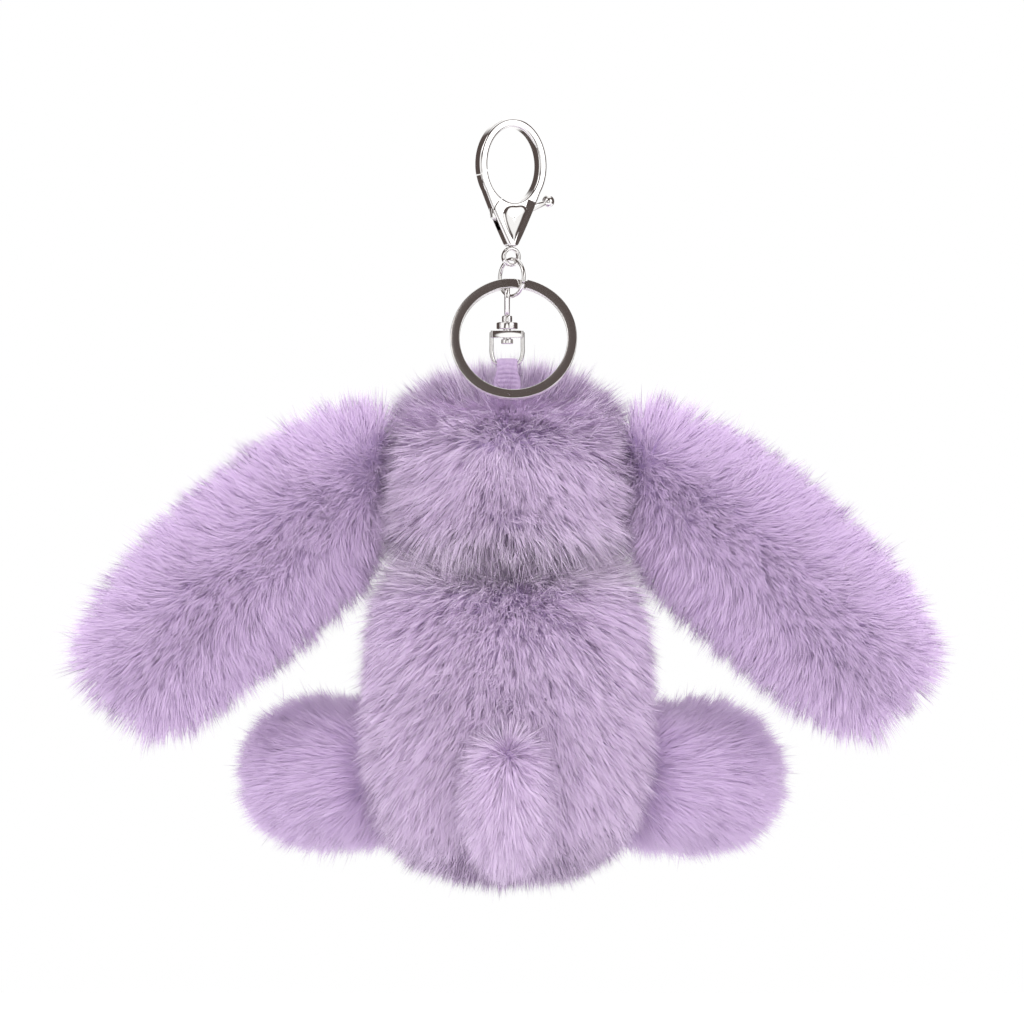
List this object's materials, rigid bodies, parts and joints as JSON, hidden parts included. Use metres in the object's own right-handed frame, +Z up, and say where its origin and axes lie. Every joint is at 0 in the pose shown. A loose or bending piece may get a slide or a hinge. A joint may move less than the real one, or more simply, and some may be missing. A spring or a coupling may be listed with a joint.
{
  "type": "plush rabbit keychain",
  "caption": "Long-pile plush rabbit with drooping ears and a round tail, hung by a ribbon and swivel from a split key ring and a lobster clasp.",
  "frame": {"origin": "the inside top of the clasp's hook, where a bag's ring or strap bears", "axes": "+Z up, the way the charm hangs; the rabbit looks along +Y, so its back and tail are on the -Y side; +X is to the right as its back is seen"},
  "size_m": [0.2034, 0.0926, 0.1781],
  "materials": {
    "nickel": "polished nickel plate over zinc and steel",
    "spring_steel": "drawn spring wire",
    "grosgrain": "lilac grosgrain ribbon with cross ribs",
    "lilac_fur": "long-pile polyester fur in lilac, pile about 9 mm, brushed outwards",
    "pale_fur": "the same fur in a paler lilac",
    "fibrefill": "loose white polyester filling",
    "black_plastic": "glossy black",
    "washer_plastic": "natural",
    "pink_thread": "satin-stitched embroidery thread"
  },
  "bodies": {
    "clasp": {"clasp_body": "nickel", "gate_pin": "nickel", "gate_spring": "spring_steel"},
    "gate": {"clasp_gate": "nickel"},
    "jump_ring": {"jump_ring": "nickel"},
    "key_ring": {"key_ring": "nickel"},
    "swivel_eye": {"swivel_eye": "nickel"},
    "swivel_bow": {"swivel_bow": "nickel"},
    "head": {"ribbon": "grosgrain", "head_cover": "lilac_fur", "head_stuffing": "fibrefill", "eye_left": "black_plastic", "eye_washer_left": "washer_plastic", "eye_right": "black_plastic", "eye_washer_right": "washer_plastic", "nose_stitching": "pink_thread"},
    "torso": {"torso_cover": "lilac_fur", "torso_stuffing": "fibrefill"},
    "ear_left": {"ear_left_cover": "lilac_fur", "ear_left_stuffing": "fibrefill"},
    "ear_right": {"ear_right_cover": "lilac_fur", "ear_right_stuffing": "fibrefill"},
    "arm_left": {"arm_left_cover": "lilac_fur", "arm_left_stuffing": "fibrefill"},
    "arm_right": {"arm_right_cover": "lilac_fur", "arm_right_stuffing": "fibrefill"},
    "leg_left": {"leg_left_cover": "lilac_fur", "leg_left_stuffing": "fibrefill"},
    "leg_right": {"leg_right_cover": "lilac_fur", "leg_right_stuffing": "fibrefill"},
    "tail": {"tail_cover": "pale_fur", "tail_stuffing": "fibrefill"}
  },
  "joints": [
    {"name": "gate_pivot", "type": "hinge", "parent": "clasp", "child": "gate", "pos_m": [-0.00027, -0.00013, -0.0214], "axis": [-0.4226, 0.9063, 0], "range_deg": [0, 30], "stiffness_Nm_per_rad": 0.03, "springref_deg": -14.32},
    {"name": "jump_ring_swing", "type": "hinge", "parent": "clasp", "child": "jump_ring", "pos_m": [0, 0, -0.03265], "axis": [0.766, 0.6428, 0], "range_deg": [-30, 30]},
    {"name": "key_ring_swing", "type": "hinge", "parent": "jump_ring", "child": "key_ring", "pos_m": [0.0006, -0.0015, -0.0371], "axis": [-1, 0, 0], "range_deg": [0, 34]},
    {"name": "swivel_side_swing", "type": "hinge", "parent": "jump_ring", "child": "swivel_eye", "pos_m": [-0.00093, 0.00134, -0.03969], "axis": [0, 1, 0], "range_deg": [-7, 20]},
    {"name": "swivel_spin", "type": "hinge", "parent": "swivel_eye", "child": "swivel_bow", "pos_m": [-0.00093, 0.00134, -0.049], "axis": [0, 0, 1], "continuous": true},
    {"name": "ribbon_swing", "type": "hinge", "parent": "swivel_bow", "child": "head", "pos_m": [-0.00093, 0.00134, -0.056], "axis": [1, 0, 0], "range_deg": [0, 35]},
    {"name": "neck_bend", "type": "hinge", "parent": "head", "child": "torso", "pos_m": [-0.00093, -0.00066, -0.1033], "axis": [1, 0, 0], "range_deg": [-8, 12], "stiffness_Nm_per_rad": 0.25},
    {"name": "ear_left_flap", "type": "hinge", "parent": "head", "child": "ear_left", "pos_m": [-0.03533, 0.00284, -0.086], "axis": [0, 0, -1], "range_deg": [-25, 35], "stiffness_Nm_per_rad": 0.006},
    {"name": "ear_right_flap", "type": "hinge", "parent": "head", "child": "ear_right", "pos_m": [0.03347, 0.00284, -0.086], "axis": [0, 0, 1], "range_deg": [-25, 35], "stiffness_Nm_per_rad": 0.006},
    {"name": "arm_left_raise", "type": "hinge", "parent": "torso", "child": "arm_left", "pos_m": [-0.02343, 0.01704, -0.113], "axis": [1, 0, 0], "range_deg": [-8, 50], "stiffness_Nm_per_rad": 0.006},
    {"name": "arm_right_raise", "type": "hinge", "parent": "torso", "child": "arm_right", "pos_m": [0.02158, 0.01704, -0.113], "axis": [1, 0, 0], "range_deg": [-8, 50], "stiffness_Nm_per_rad": 0.006},
    {"name": "leg_left_splay", "type": "hinge", "parent": "torso", "child": "leg_left", "pos_m": [-0.02679, 0.00679, -0.1544], "axis": [0, 0, -1], "range_deg": [-14, 14], "stiffness_Nm_per_rad": 0.012},
    {"name": "leg_right_splay", "type": "hinge", "parent": "torso", "child": "leg_right", "pos_m": [0.02494, 0.00679, -0.1544], "axis": [0, 0, 1], "range_deg": [-14, 14], "stiffness_Nm_per_rad": 0.012},
    {"name": "tail_wag", "type": "hinge", "parent": "torso", "child": "tail", "pos_m": [-0.00093, -0.03106, -0.1585], "axis": [0, 0, 1], "range_deg": [-15, 15], "stiffness_Nm_per_rad": 0.004}
  ]
}
